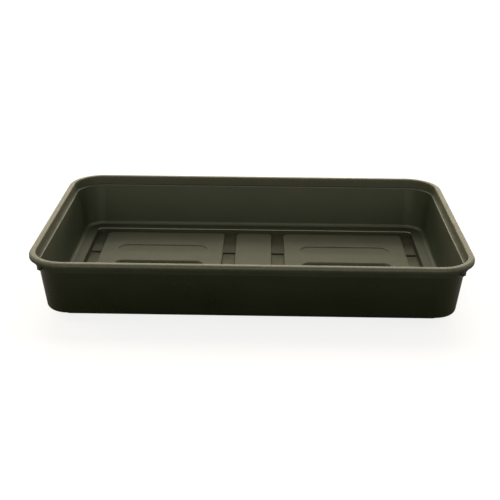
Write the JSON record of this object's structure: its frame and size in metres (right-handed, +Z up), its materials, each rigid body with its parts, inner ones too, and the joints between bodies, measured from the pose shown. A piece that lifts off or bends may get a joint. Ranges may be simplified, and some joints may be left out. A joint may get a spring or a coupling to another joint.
{
  "type": "potting soil tray",
  "caption": "Shallow rectangular garden tray with a turned-over rim, leaning walls and a sunken well that holds a loose slotted floor insert.",
  "frame": {"origin": "middle of the flat underside that the tray stands on", "axes": "+Z up, +X along the tray's long side, +Y across it"},
  "size_m": [0.38, 0.24, 0.0581],
  "materials": {
    "tray_plastic": "semi-matte moulded polypropylene, very dark olive green",
    "insert_plastic": "semi-matte moulded polypropylene, very dark olive green"
  },
  "bodies": {
    "tray_body": {"tray": "tray_plastic"},
    "insert_body": {"drainage_insert": "insert_plastic"}
  },
  "joints": [
    {"name": "insert_lift", "type": "slide", "parent": "tray_body", "child": "insert_body", "axis": [0, 0, 1], "range_m": [0, 0.07]}
  ]
}
